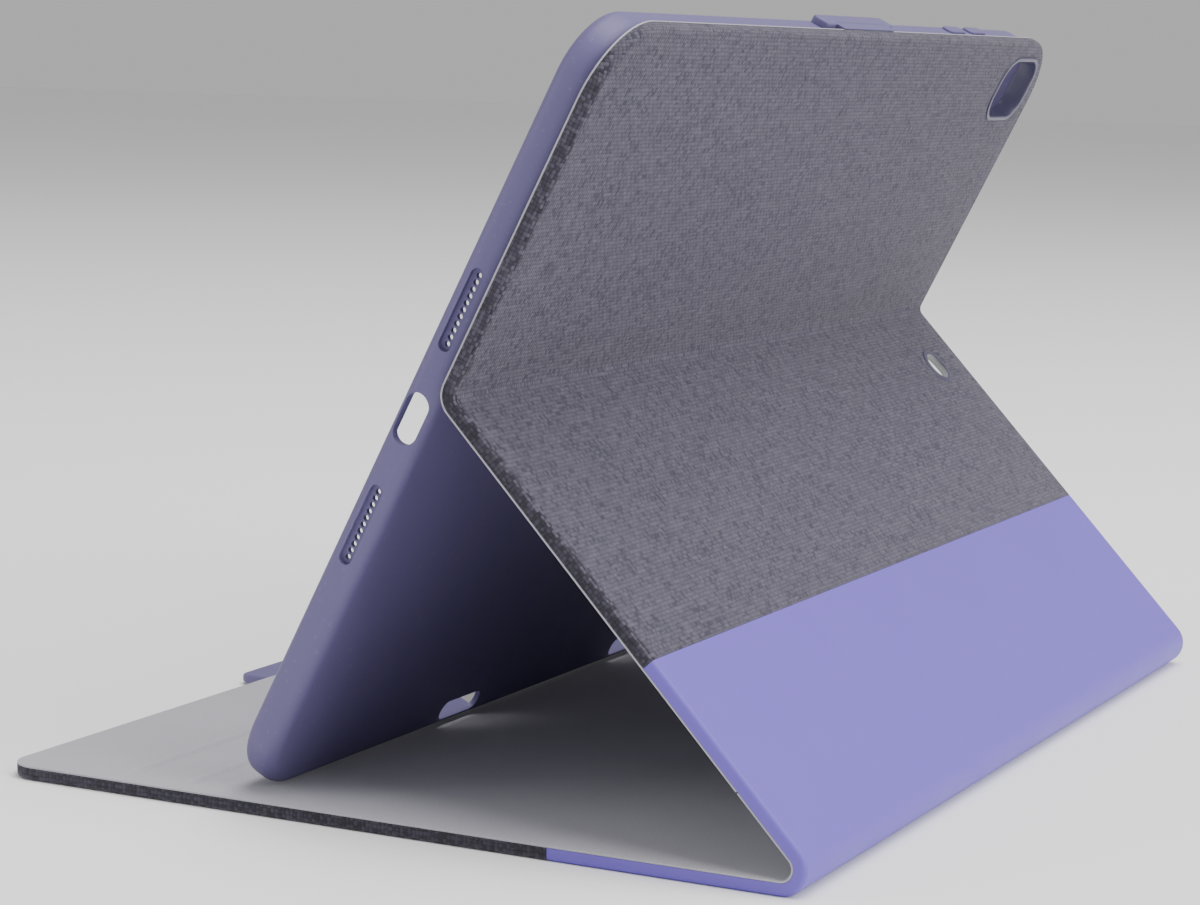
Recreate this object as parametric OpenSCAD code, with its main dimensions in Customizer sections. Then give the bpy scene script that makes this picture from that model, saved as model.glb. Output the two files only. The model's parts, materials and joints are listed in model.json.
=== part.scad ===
// Folding stand case for a 10-inch tablet, standing on its open front cover.
// Every panel is drawn flat in the same way: its lining face lies at z = 0, its outer face at
// z = -panel_t, x runs along the width and y runs from the spine towards the top edge.

/* [Tablet] */
// Length of the tablet that the tray holds
tablet_w = 250.6; // [245:0.1:255]
// Height of the tablet that the tray holds
tablet_h = 174.1; // [170:0.1:178]
// Thickness of the tablet
tablet_t = 6.1; // [6:0.1:6.6]

/* [Tray] */
// Thickness of the tray's side walls
wall_t = 2.1; // [1.9:0.1:2.6]
// Thickness of the tray's back
tray_back_t = 1.2; // [1.1:0.1:1.6]
// Room between the tablet and each wall
tablet_gap = 0.4; // [0.2:0.1:0.6]
// Thickness of the lip that holds the tablet in
lip_t = 0.9; // [0.8:0.1:1.3]
// How far the lip reaches over the tablet
lip_reach = 1.6; // [1:0.1:2.2]
// Radius of the tray's corners, seen from the back
tray_r = 14; // [12:0.5:16]
// Radius of the rounding along the tray's long edges
tray_edge_r = 3; // [2:0.5:3.5]

/* [Panels] */
// Width of the three panels
case_w = 262; // [258:1:270]
// Whole thickness of a panel
panel_t = 3.2; // [3:0.1:3.6]
// Thickness of the pale lining
lining_t = 0.9; // [0.7:0.1:1]
// Thickness of the outer skin
skin_t = 0.8; // [0.6:0.1:0.9]
// Width of the skin that wraps round a board's edge
wrap_w = 1.5; // [1.2:0.1:2]
// Radius of the upper panel's top corners
panel_r = 17; // [14:1:20]
// Radius of the front cover's free corners
front_corner_r = 7; // [5:1:16]
// Length of the front cover from the spine's crease to its free edge
front_len = 186.5; // [184:0.5:190]
// Length from the spine's crease to the fold in the back
lower_len = 118.7; // [117:0.1:121]
// Length from the fold to the top edge
upper_len = 83.5; // [82:0.5:86]
// Length of the tray that hangs below the fold
tray_below = 97; // [95:0.5:97]
// Width of the smooth band on the back, measured from the spine's crease
back_band = 51.4; // [45:0.1:60]
// Width of the smooth band on the front cover
front_band_w = 55; // [45:1:60]
// Radius inside the spine's crease
crease_r = 2.4; // [2:0.1:3]

/* [Stand] */
// Angle between the front cover and the lower back panel
spine_angle = 46.5; // [46.5:0.5:50]
// Angle between the table and the tray
tray_angle = 63.6; // [61:0.1:63.6]

/* [Openings] */
// Length of the camera window
camera_w = 23; // [20:1:25]
// Height of the camera window
camera_h = 16; // [14:1:18]
// Diameter of the round hole in the lower back panel
sound_hole_d = 7.7; // [6:0.1:9]
// Length of the charging port's slot
port_w = 11.5; // [10:0.5:13]
// Height of the charging port's slot
port_h = 5.5; // [4.4:0.1:5.6]
// Number of holes in each speaker row
speaker_holes = 11; // [7:1:13]
// Distance between two speaker holes
speaker_pitch = 1.55; // [1.5:0.05:1.8]

/* [Latch] */
// Width of the closing flap
flap_w = 50; // [40:1:60]
// Length of the closing flap
flap_len = 8.6; // [7:0.1:8.6]
// Thickness of the closing flap
flap_t = 2.2; // [2:0.1:2.6]
// Width of the raised dock on the tray's top wall
dock_w = 40; // [34:1:46]

/* [Buttons] */
// Length of a button cover
button_w = 11; // [9:0.5:13]
// Height of a button cover
button_h = 3.2; // [2.8:0.1:3.6]
// How far a button cover stands out of the wall
button_out = 0.6; // [0.4:0.1:0.8]

/* [Hidden] */
$fn = 64;

lavender = [0.58, 0.56, 0.78];
heather = [0.43, 0.42, 0.47];
pale_grey = [0.68, 0.68, 0.71];
board_brown = [0.55, 0.47, 0.38];
magnet_grey = [0.55, 0.56, 0.58];

eps = 0.01;
board_t = panel_t - lining_t - skin_t;
board_top = -lining_t;
board_low = -lining_t - board_t;
half_turn = (180 - spine_angle - tray_angle) / 2;   // half of the angle inside the fold
fold_turn = (180 - spine_angle) - tray_angle;       // how far the back bends at the fold
crease_end = crease_r / tan(spine_angle / 2);       // where the crease's round meets a panel
lower_start = 6.9;                                  // first edge of the lower panel's skins
spine_y = 98;                                       // the spine's crease, from the origin
board_end = 3.6;                                    // distance of a board from the fold
fold_gap = 0.15;                                    // half of the gap between the skins at the fold

tray_w = tablet_w + 2 * (tablet_gap + wall_t);
tray_h = tablet_h + 2 * (tablet_gap + wall_t);
tray_z = 0.3;                                       // the tray's back, just clear of the lining
pocket_z = tray_z + tray_back_t;
lip_z = pocket_z + tablet_t + 0.1;
tray_top_z = lip_z + lip_t;
tray_mid = tray_h / 2 - tray_below;                 // middle of the tray's height
tray_top = tray_h - tray_below;                     // outer face of the tray's top wall
tablet_mid_z = pocket_z + tablet_t / 2;

camera_at = [-112, 70];
sound_hole_at = [-112, -20.3];                      // from the fold
sound_rim_r = 5.4;                                  // the grommet's rim in the skin
sound_flare_r = 8.6;                                // the grommet inside the panel
ridge_ys = [-142.5, -158];
slot_xs = [-44, 44];
magnet_xs = [-75, -25, 25, 75];
rest_line = -lower_len * cos(spine_angle) - tray_below * cos(tray_angle);

// Places of the three panels

module at_front() {
    translate([0, spine_y, panel_t]) children();
}

module at_lower() {
    translate([0, spine_y, panel_t]) rotate([180 - spine_angle, 0, 0]) children();
}

module at_upper() {
    at_lower() translate([0, lower_len, 0]) rotate([-fold_turn, 0, 0]) children();
}

// Shared shapes

// A plate from y0 to y1 whose two corners at y1 are round
module free_end_2d(w, y0, y1, r) {
    translate([-w / 2, y0]) square([w, y1 - y0 - r]);
    translate([-w / 2 + r, y0]) square([w - 2 * r, y1 - y0]);
    for (side = [-1, 1]) translate([side * (w / 2 - r), y1 - r]) circle(r = r);
}

module round_rect_2d(w, h, r) {
    square([w - 2 * r, h], center = true);
    square([w, h - 2 * r], center = true);
    for (sx = [-1, 1], sy = [-1, 1]) translate([sx * (w / 2 - r), sy * (h / 2 - r)]) circle(r = r);
}

module slab(z0, z1) {
    translate([0, 0, z0]) linear_extrude(z1 - z0) children();
}

// The front cover's outline, pulled in by `inset` along its three free edges
module front_2d(inset, y_spine) {
    mirror([0, 1, 0])
        free_end_2d(case_w - 2 * inset, -y_spine, front_len - inset, front_corner_r - inset);
}

module upper_2d(inset, y0) {
    free_end_2d(case_w - 2 * inset, y0, upper_len - inset, panel_r - inset);
}

module lower_2d(inset, y0, y1) {
    translate([-case_w / 2 + inset, y0]) square([case_w - 2 * inset, y1 - y0]);
}

module camera_hole(grow, z0, z1) {
    translate([camera_at[0], camera_at[1], 0])
        slab(z0, z1) round_rect_2d(camera_w + 2 * grow, camera_h + 2 * grow, 6 + grow);
}

module sound_hole(r, z0, z1) {
    translate([sound_hole_at[0], sound_hole_at[1], z0]) cylinder(r = r, h = z1 - z0);
}

// Keeps the lower panel on its own side of the plane that halves the fold
module trim_lower_fold() {
    difference() {
        children();
        translate([0, lower_len - fold_gap, 0]) rotate([-fold_turn / 2, 0, 0])
            translate([-case_w, 0, -20]) cube([2 * case_w, 20, 40]);
    }
}

module trim_upper_fold() {
    difference() {
        children();
        translate([0, fold_gap, 0]) rotate([fold_turn / 2, 0, 0])
            translate([-case_w, -20, -20]) cube([2 * case_w, 20, 40]);
    }
}

// Part of a ring round the inside of the spine's crease
module crease_ring(r0, r1) {
    wedge = 4 * r1;
    at_front() translate([-case_w / 2, -crease_end, crease_r]) rotate([90, 0, 90])
        linear_extrude(case_w) intersection() {
            difference() {
                circle(r = r1);
                circle(r = r0);
            }
            polygon([[0, 0], [0, -wedge], [wedge, -wedge], [wedge, wedge * tan(90 - spine_angle)]]);
        }
}

module magnet_bars(w, d, h) {
    for (x = magnet_xs) translate([x - w / 2, 0, 0]) cube([w, d, h]);
}

// Front cover

module front_board() {
    color(board_brown) at_front() difference() {
        slab(board_low, board_top) front_2d(wrap_w, -crease_end - 1);
        stand_magnet_bars();
        wake_magnet_bars();
    }
}

module front_fabric() {
    color(heather) at_front() difference() {
        slab(-panel_t, board_top) front_2d(0, -front_band_w);
        slab(board_low, board_top + eps) front_2d(wrap_w, -front_band_w + 1);
    }
}

module front_band() {
    color(lavender) at_front() difference() {
        slab(-panel_t, board_top)
            translate([-case_w / 2, -front_band_w]) square([case_w, front_band_w - crease_end]);
        slab(board_low, board_top + eps)
            translate([-case_w / 2 + wrap_w, -front_band_w - 1])
                square([case_w - 2 * wrap_w, front_band_w - crease_end]);
    }
}

module front_lining() {
    color(pale_grey) at_front() slab(board_top, 0) front_2d(0, -crease_end);
}

module stand_ridges() {
    ridge_w = 1.6;
    ridge_h = 0.5;
    color(pale_grey) at_front() for (y = ridge_ys)
        translate([-tray_w / 2, y - ridge_w / 2, 0]) cube([tray_w, ridge_w, ridge_h]);
}

module stand_magnet_bars() {
    translate([0, rest_line - 4, board_top - 1.2]) magnet_bars(24, 8, 1.2);
}

module stand_magnets() {
    color(magnet_grey) at_front() stand_magnet_bars();
}

module wake_magnet_bars() {
    for (x = [-96, 88, 104]) translate([x, -front_len + 14, board_top - 1.2]) cube([6, 12, 1.2]);
}

module wake_magnets() {
    color(magnet_grey) at_front() wake_magnet_bars();
}

module spine_crease_skin() {
    color(lavender) crease_ring(crease_r + lining_t, crease_r + panel_t);
}

module spine_crease_lining() {
    color(pale_grey) crease_ring(crease_r, crease_r + lining_t);
}

// Closing flap on the front cover's free edge

module at_flap() {
    at_front() translate([0, -front_len - 0.9, -0.5]) children();
}

module latch_magnet_bars() {
    for (x = [-18, 4]) translate([x, -flap_len + 1.6, -1.6]) cube([14, 5, 1]);
}

module latch_flap() {
    color(lavender) at_flap() difference() {
        slab(-flap_t, 0) mirror([0, 1, 0]) free_end_2d(flap_w, 0, flap_len, 3);
        latch_magnet_bars();
    }
}

module latch_magnets() {
    color(magnet_grey) at_flap() latch_magnet_bars();
}

// Lower back panel and spine

module lower_board() {
    color(board_brown) at_lower() difference() {
        slab(board_low, board_top)
            lower_2d(wrap_w, lower_len - tray_below + 1.3, lower_len - board_end);
        translate([0, lower_len, 0]) sound_hole(sound_flare_r, board_low - 1, 1);
    }
}

module spine_board() {
    color(board_brown) at_lower()
        slab(board_low, board_top) lower_2d(wrap_w, lower_start + 0.6, lower_len - tray_below - 1.3);
}

module lower_fabric() {
    color(heather) at_lower() trim_lower_fold() difference() {
        slab(-panel_t, board_top) lower_2d(0, back_band, lower_len);
        slab(board_low, board_top + eps) lower_2d(wrap_w, back_band - 1, lower_len - board_end);
        translate([0, lower_len, 0]) sound_hole(sound_rim_r, -panel_t - 1, 1);
    }
}

module lower_band() {
    color(lavender) at_lower() difference() {
        slab(-panel_t, board_top) lower_2d(0, lower_start, back_band);
        slab(board_low, board_top + eps) {
            lower_2d(wrap_w, lower_start + 0.6, lower_len - tray_below - 1.3);
            lower_2d(wrap_w, lower_len - tray_below + 1.3, back_band + 1);
        }
    }
}

module lower_lining() {
    color(pale_grey) at_lower() trim_lower_fold() difference() {
        slab(board_top, 0) lower_2d(0, lower_start, lower_len);
        translate([0, lower_len, 0]) sound_hole(sound_flare_r, -panel_t, 1);
    }
}

// A ring in the skin that flares out inside the panel
module sound_grommet() {
    low = -panel_t - 0.2;
    color(lavender) at_lower() translate([0, lower_len, 0]) difference() {
        union() {
            sound_hole(sound_rim_r, low, board_low + eps);
            sound_hole(sound_flare_r, board_low, 0);
        }
        translate([sound_hole_at[0], sound_hole_at[1], low - eps])
            cylinder(r1 = sound_hole_d / 2, r2 = sound_flare_r - 0.4, h = 2 * eps - low);
    }
}

// Upper back panel, fixed to the tray

module upper_board() {
    color(board_brown) at_upper() difference() {
        slab(board_low, board_top) upper_2d(wrap_w, board_end);
        camera_hole(1.2, board_low - 1, 1);
    }
}

module upper_fabric() {
    color(heather) at_upper() trim_upper_fold() difference() {
        slab(-panel_t, board_top) upper_2d(0, 0);
        slab(board_low, board_top + eps) upper_2d(wrap_w, board_end);
        camera_hole(1.2, -panel_t - 1, 1);
    }
}

module upper_lining() {
    color(pale_grey) at_upper() trim_upper_fold() difference() {
        slab(board_top, tray_z) upper_2d(0, 0);
        camera_hole(1.2, -panel_t, 1);
    }
}

module camera_bezel() {
    color(lavender) at_upper() difference() {
        camera_hole(1.2, -panel_t - 0.3, tray_z);
        camera_hole(0, -panel_t - 1, 1);
    }
}

// Tray

// The tray's outside: its outline with all long edges rounded
module tray_block() {
    deep = tray_top_z - tray_z;
    translate([0, tray_mid, tray_z]) intersection() {
        linear_extrude(deep) round_rect_2d(tray_w, tray_h, tray_r);
        translate([-tray_w / 2, 0, 0]) rotate([90, 0, 90]) linear_extrude(tray_w) tray_edge_2d(tray_h, deep);
        translate([0, tray_h / 2, 0]) rotate([90, 0, 0]) linear_extrude(tray_h) tray_edge_2d(tray_w, deep);
    }
}

// A cross-section of width w with its four corners rounded
module tray_edge_2d(w, deep) {
    r = tray_edge_r;
    translate([-w / 2 + r, 0]) square([w - 2 * r, deep]);
    translate([-w / 2, r]) square([w, deep - 2 * r]);
    for (side = [-1, 1]) for (z = [r, deep - r]) translate([side * (w / 2 - r), z]) circle(r = r);
}

module tray_pocket() {
    pocket_w = tablet_w + 2 * tablet_gap;
    pocket_h = tablet_h + 2 * tablet_gap;
    translate([0, tray_mid, 0]) {
        slab(pocket_z, lip_z) round_rect_2d(pocket_w, pocket_h, tray_r - wall_t);
        slab(lip_z - eps, tray_top_z + 1)
            round_rect_2d(pocket_w - 2 * lip_reach, pocket_h - 2 * lip_reach, tray_r - wall_t - 1);
    }
}

// One speaker opening in the end wall: a shallow slot with a row of holes behind it
module speaker_cut(y) {
    row = (speaker_holes - 1) * speaker_pitch;
    recess_deep = 1;
    translate([tray_w / 2 - recess_deep, y, tablet_mid_z]) rotate([90, 0, 90])
        linear_extrude(5) {
            square([row, 3], center = true);
            for (side = [-1, 1]) translate([side * row / 2, 0]) circle(r = 1.5);
        }
    for (i = [0 : speaker_holes - 1])
        translate([tray_w / 2 - wall_t - 1, y - row / 2 + i * speaker_pitch, tablet_mid_z])
            rotate([0, 90, 0]) cylinder(d = 1.2, h = wall_t + 1, $fn = 16);
}

module port_cut() {
    translate([tray_w / 2 - wall_t - 1, tray_mid, tablet_mid_z]) rotate([90, 0, 90])
        linear_extrude(wall_t + 3) {
            square([port_w - port_h, port_h], center = true);
            for (side = [-1, 1]) translate([side * (port_w - port_h) / 2, 0]) circle(d = port_h);
        }
}

module headphone_cut() {
    translate([-tray_w / 2 - 1, tray_mid - tablet_h / 2 + 13, tablet_mid_z]) rotate([0, 90, 0])
        cylinder(d = 6, h = wall_t + 2);
}

// Two slots low in the tray's back
module back_slots() {
    for (x = slot_xs) translate([x, -tray_below + 5, 0])
        slab(tray_z - 1, pocket_z + 1) {
            square([13, 5], center = true);
            for (side = [-1, 1]) translate([side * 6.5, 0]) circle(r = 2.5);
        }
}

module tray_magnet_bars() {
    translate([0, -tray_below + wall_t - 1, pocket_z + 0.6]) magnet_bars(18, 1, 5);
}

// A button's shape, grown by `grow`, running through the wall from -inner to +outer
module button_bar(grow, inner, outer) {
    w = button_w + 2 * grow;
    h = button_h + 2 * grow;
    translate([0, -inner, 0]) rotate([-90, 0, 0]) linear_extrude(inner + outer) {
        square([w - h, h], center = true);
        for (side = [-1, 1]) translate([side * (w - h) / 2, 0]) circle(d = h);
    }
}

module at_volume(x) {
    translate([x, tray_top, tablet_mid_z]) children();
}

module at_power() {
    translate([-tray_w / 2, tray_mid + tablet_h / 2 - 27, tablet_mid_z]) rotate([0, 0, 90]) children();
}

volume_up_x = -85;
volume_down_x = -70;
button_gap = 0.25;

module tray_shell() {
    color(lavender) at_upper() difference() {
        tray_block();
        tray_pocket();
        for (side = [-1, 1]) speaker_cut(tray_mid + side * 24.9);
        port_cut();
        headphone_cut();
        back_slots();
        camera_hole(0, tray_z - 1, pocket_z + 1);
        sound_hole(2.5, tray_z - 1, pocket_z + 1);
        tray_magnet_bars();
        for (x = [volume_up_x, volume_down_x]) at_volume(x) button_bar(button_gap, wall_t + 1, 1);
        at_power() button_bar(button_gap, wall_t + 1, 1);
    }
}

module tray_magnets() {
    color(magnet_grey) at_upper() tray_magnet_bars();
}

// The dock that the closing flap lands on, with a tongue over the panel's top edge
module latch_dock() {
    dock_h = 1.4;
    tongue_w = 31;
    color(lavender) at_upper() difference() {
        union() {
            translate([-dock_w / 2, tray_top, tray_z + 1.3]) cube([dock_w, dock_h, 4.6]);
            translate([-tongue_w / 2, tray_top, tray_z]) cube([tongue_w, dock_h, 1.5]);
            translate([-tongue_w / 2, upper_len, -lining_t]) cube([tongue_w, 0.4, 1.6]);
        }
        keeper_bar();
    }
}

module keeper_bar() {
    translate([-17, tray_top, tray_z + 1.8]) cube([34, 0.7, 3.6]);
}

module latch_keeper() {
    color(magnet_grey) at_upper() keeper_bar();
}

// Button covers

module volume_up() {
    color(lavender) at_upper() at_volume(volume_up_x) button_bar(0, wall_t - 0.1, button_out);
}

module volume_down() {
    color(lavender) at_upper() at_volume(volume_down_x) button_bar(0, wall_t - 0.1, button_out);
}

module power_button() {
    color(lavender) at_upper() at_power() button_bar(0, wall_t - 0.1, button_out);
}

front_board();
front_fabric();
front_band();
front_lining();
stand_ridges();
stand_magnets();
wake_magnets();
spine_crease_skin();
spine_crease_lining();
latch_flap();
latch_magnets();
lower_board();
spine_board();
lower_fabric();
lower_band();
lower_lining();
sound_grommet();
upper_board();
upper_fabric();
upper_lining();
tray_shell();
camera_bezel();
latch_dock();
latch_keeper();
tray_magnets();
power_button();
volume_up();
volume_down();
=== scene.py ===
import json
import math

import bmesh
import bpy
from mathutils import Matrix, Vector


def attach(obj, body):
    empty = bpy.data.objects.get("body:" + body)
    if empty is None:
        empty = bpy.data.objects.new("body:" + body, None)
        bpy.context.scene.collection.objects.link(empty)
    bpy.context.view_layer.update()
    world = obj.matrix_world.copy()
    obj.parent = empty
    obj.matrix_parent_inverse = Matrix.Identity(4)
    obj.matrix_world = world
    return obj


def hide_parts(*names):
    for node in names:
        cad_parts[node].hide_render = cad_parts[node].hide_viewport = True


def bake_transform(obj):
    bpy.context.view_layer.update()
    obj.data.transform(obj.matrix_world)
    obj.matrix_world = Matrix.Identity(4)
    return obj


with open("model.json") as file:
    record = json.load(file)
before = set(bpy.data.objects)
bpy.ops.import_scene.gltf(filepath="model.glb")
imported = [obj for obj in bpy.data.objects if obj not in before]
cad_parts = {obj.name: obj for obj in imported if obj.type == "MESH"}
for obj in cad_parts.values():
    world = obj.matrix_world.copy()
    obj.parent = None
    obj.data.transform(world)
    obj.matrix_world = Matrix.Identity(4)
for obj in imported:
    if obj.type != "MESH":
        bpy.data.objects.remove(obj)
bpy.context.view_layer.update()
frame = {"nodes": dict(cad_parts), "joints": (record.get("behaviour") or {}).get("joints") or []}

mm = 0.001
joints = {joint["name"]: joint for joint in frame["joints"]}
spineAt = Vector(joints["spine_crease"]["pos_m"])
foldAt = Vector(joints["back_fold"]["pos_m"])
spineTurn = math.radians(joints["spine_crease"]["range_deg"][1])
foldTurn = math.radians(joints["back_fold"]["range_deg"][1])
lowerLength = (foldAt - spineAt).length

# The three panels. Each one's lining lies at z = 0, its skin at z = -panelThick, and y runs to the top edge.
frontFrame = Matrix.Translation(spineAt)
lowerFrame = frontFrame @ Matrix.Rotation(spineTurn, 4, "X")
upperFrame = Matrix.Translation(foldAt) @ Matrix.Rotation(spineTurn - foldTurn, 4, "X")

case = {
    "width": 262 * mm,
    "panelThick": 3.2 * mm,
    "liningThick": 0.5 * mm,     # the part of its edge that the skins leave bare
    "skinThick": 0.75 * mm,
    "cornerRound": 17 * mm,
    "frontCornerRound": 7 * mm,
    "frontLength": 186.5 * mm,
    "upperLength": 83.5 * mm,
    "frontBand": 55 * mm,
    "backBand": 51.4 * mm,
    "creaseRound": 2.4 * mm,     # inside the spine's crease
    "foldRound": 5.5 * mm,       # over the lining at the fold
    "hingeLine": 21.7 * mm,      # from the spine to the gap between its board and the lower board
    "rimRound": 1.1 * mm,        # where the skins turn down the panels' edges
    "seam": 0.05 * mm,           # half the gap between the band and the cloth
    "liningSeam": 0.1 * mm,      # half the gap between the two linings
    "liningSoft": 0.22 * mm,
}


# Helpers for modelling


def clearSelection():
    if bpy.context.mode != "OBJECT":
        bpy.ops.object.mode_set(mode="OBJECT")
    bpy.ops.object.select_all(action="DESELECT")


def takeUp(piece):
    clearSelection()
    bpy.context.view_layer.objects.active = piece
    piece.select_set(True)


def addBlock(name, low, high):
    # a block between two corners, left in edit mode
    clearSelection()
    middle = (Vector(low) + Vector(high)) / 2
    bpy.ops.mesh.primitive_cube_add(size=1, location=middle)
    piece = bpy.context.object
    piece.name = name
    piece.scale = Vector(high) - Vector(low)
    bpy.ops.object.transform_apply(location=True, rotation=False, scale=True)
    bpy.ops.object.mode_set(mode="EDIT")
    bpy.ops.mesh.select_all(action="DESELECT")
    return piece


def addRound(name, middle, radius, depth, sides=48, turned=(0, 0, 0)):
    # a cylinder, left in edit mode
    clearSelection()
    bpy.ops.mesh.primitive_cylinder_add(
        vertices=sides, radius=radius, depth=depth, location=middle, rotation=turned)
    piece = bpy.context.object
    piece.name = name
    bpy.ops.object.transform_apply(location=True, rotation=True, scale=True)
    bpy.ops.object.mode_set(mode="EDIT")
    bpy.ops.mesh.select_all(action="DESELECT")
    return piece


def pickFaces(piece, test):
    # selects the faces whose middle and normal pass the test
    bpy.ops.mesh.select_mode(type="FACE")
    bpy.ops.mesh.select_all(action="DESELECT")
    work = bmesh.from_edit_mesh(piece.data)
    for face in work.faces:
        face.select_set(bool(test(face.calc_center_median(), face.normal)))
    bmesh.update_edit_mesh(piece.data)


def pickEdges(piece, test):
    # selects the edges whose two ends pass the test
    bpy.ops.mesh.select_mode(type="EDGE")
    bpy.ops.mesh.select_all(action="DESELECT")
    work = bmesh.from_edit_mesh(piece.data)
    for edge in work.edges:
        first, second = (corner.co for corner in edge.verts)
        edge.select_set(bool(test(first, second)))
    bmesh.update_edit_mesh(piece.data)


def near(a, b, within=0.02 * mm):
    return abs(a - b) < within


def roundEdges(offset, steps):
    bpy.ops.mesh.bevel(offset=offset, segments=steps, profile=0.5, affect="EDGES", clamp_overlap=True)


def finishMesh(piece):
    # welds, turns the faces outwards, leaves edit mode and gives the piece back
    bpy.ops.mesh.select_all(action="SELECT")
    bpy.ops.mesh.remove_doubles(threshold=0.005 * mm)
    bpy.ops.mesh.normals_make_consistent(inside=False)
    bpy.ops.object.mode_set(mode="OBJECT")
    return piece


def applyAll(piece):
    takeUp(piece)
    for modifier in list(piece.modifiers):
        bpy.ops.object.modifier_apply(modifier=modifier.name)


def placeOn(piece, panelFrame):
    # puts a piece drawn flat where its panel is, and leaves its object at the origin
    takeUp(piece)
    piece.matrix_world = panelFrame
    bpy.ops.object.transform_apply(location=True, rotation=True, scale=True)


def smooth(piece, angle=32):
    takeUp(piece)
    bpy.ops.object.shade_smooth_by_angle(angle=math.radians(angle))


def cutWith(piece, cutters):
    # takes the cutters out of the piece and throws them away
    for cutter in cutters:
        if bpy.context.mode != "OBJECT":
            bpy.ops.object.mode_set(mode="OBJECT")
        cut = piece.modifiers.new("cut", "BOOLEAN")
        cut.operation = "DIFFERENCE"
        cut.solver = "EXACT"
        cut.object = cutter
        applyAll(piece)
        bpy.data.objects.remove(cutter)


def joinInto(pieces):
    takeUp(pieces[0])
    for piece in pieces:
        piece.select_set(True)
    bpy.ops.object.join()
    return pieces[0]


def softEdges(piece, width, steps=2, sharper=40):
    soft = piece.modifiers.new("soft", "BEVEL")
    soft.width = width
    soft.segments = steps
    soft.limit_method = "ANGLE"
    soft.angle_limit = math.radians(sharper)
    soft.harden_normals = False
    applyAll(piece)


# Camera, light and floor

viewer = {
    "place": (642.47 * mm, 304.52 * mm, 158.11 * mm),
    "azimuth": 115.95,
    "elevation": 7.52,
    "roll": 1.36,
    "lens": 90.18,
    "shift": (-0.0115, -0.0043),
}


def makeCamera():
    azimuth, elevation, roll = (math.radians(viewer[key]) for key in ("azimuth", "elevation", "roll"))
    back = Vector((
        math.sin(azimuth) * math.cos(elevation), -math.cos(azimuth) * math.cos(elevation), math.sin(elevation)))
    right = Vector((0, 0, 1)).cross(back).normalized()
    up = back.cross(right)
    rolledRight = right * math.cos(roll) + up * math.sin(roll)
    rolledUp = up * math.cos(roll) - right * math.sin(roll)
    turned = Matrix((rolledRight, rolledUp, back)).transposed()
    data = bpy.data.cameras.new("camera")
    data.lens = viewer["lens"]
    data.sensor_width = 36
    data.shift_x, data.shift_y = viewer["shift"]
    data.clip_start, data.clip_end = 0.05, 20
    camera = bpy.data.objects.new("camera", data)
    camera.matrix_world = Matrix.Translation(viewer["place"]) @ turned.to_4x4()
    bpy.context.scene.collection.objects.link(camera)
    bpy.context.scene.camera = camera


lamps = [
    # name, place, aimed at, size, watts, colour
    ("behind", (0.2, 1.9, 1.2), (0, 0, 0.08), 1.4, 34, (1.0, 0.995, 0.98)),
    ("overhead", (-0.1, 0.5, 2.0), (0, 0, 0), 1.8, 46, (1.0, 1.0, 1.0)),
    ("frontSide", (1.1, -1.4, 0.7), (0, 0, 0.05), 1.2, 8, (0.98, 0.98, 1.0)),
]


def makeLights():
    for name, place, aim, size, watts, colour in lamps:
        data = bpy.data.lights.new(name, "AREA")
        data.shape = "DISK"
        data.size = size
        data.energy = watts
        data.color = colour
        lamp = bpy.data.objects.new(name, data)
        lamp.location = place
        lamp.rotation_mode = "QUATERNION"
        lamp.rotation_quaternion = (Vector(place) - Vector(aim)).to_track_quat("Z", "Y")
        bpy.context.scene.collection.objects.link(lamp)
    world = bpy.data.worlds.new("studio")
    world.use_nodes = True
    background = world.node_tree.nodes["Background"]
    background.inputs["Color"].default_value = (1.0, 1.0, 1.0, 1)
    background.inputs["Strength"].default_value = 0.5
    bpy.context.scene.world = world


def makeFloor():
    clearSelection()
    bpy.ops.mesh.primitive_plane_add(size=14, location=(0, 0, 0))
    floor = bpy.context.object
    floor.name = "floor"
    made = bpy.data.materials.new("paleFloor")
    made.use_nodes = True
    surface = made.node_tree.nodes["Principled BSDF"]
    surface.inputs["Base Color"].default_value = (0.95, 0.95, 0.95, 1)
    surface.inputs["Roughness"].default_value = 0.7
    surface.inputs["Specular IOR Level"].default_value = 0.2
    floor.data.materials.append(made)


makeCamera()
makeLights()
makeFloor()
print("camera, lights and floor are set")


# Materials


def addNode(tree, kind, inputs=None, **settings):
    made = tree.nodes.new(kind)
    for key, value in settings.items():
        setattr(made, key, value)
    for key, value in (inputs or {}).items():
        if isinstance(value, bpy.types.NodeSocket):
            tree.links.new(value, made.inputs[key])
        else:
            made.inputs[key].default_value = value
    return made


def doMath(tree, operation, first, second=0.0, third=None):
    inputs = {0: first, 1: second}
    if third is not None:
        inputs[2] = third
    return addNode(tree, "ShaderNodeMath", inputs, operation=operation).outputs[0]


def mixColours(tree, amount, first, second):
    made = addNode(tree, "ShaderNodeMix", {0: amount, 6: first, 7: second}, data_type="RGBA")
    return made.outputs[2]


def newGroup(name, inputs, outputs):
    group = bpy.data.node_groups.new(name, "ShaderNodeTree")
    for label, kind, value in inputs:
        socket = group.interface.new_socket(label, in_out="INPUT", socket_type=kind)
        if value is not None:
            socket.default_value = value
    for label, kind in outputs:
        group.interface.new_socket(label, in_out="OUTPUT", socket_type=kind)
    return group, group.nodes.new("NodeGroupInput").outputs, group.nodes.new("NodeGroupOutput").inputs


def useGroup(tree, group, inputs):
    made = tree.nodes.new("ShaderNodeGroup")
    made.node_tree = group
    for key, value in inputs.items():
        if isinstance(value, bpy.types.NodeSocket):
            tree.links.new(value, made.inputs[key])
        else:
            made.inputs[key].default_value = value
    return made.outputs


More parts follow.
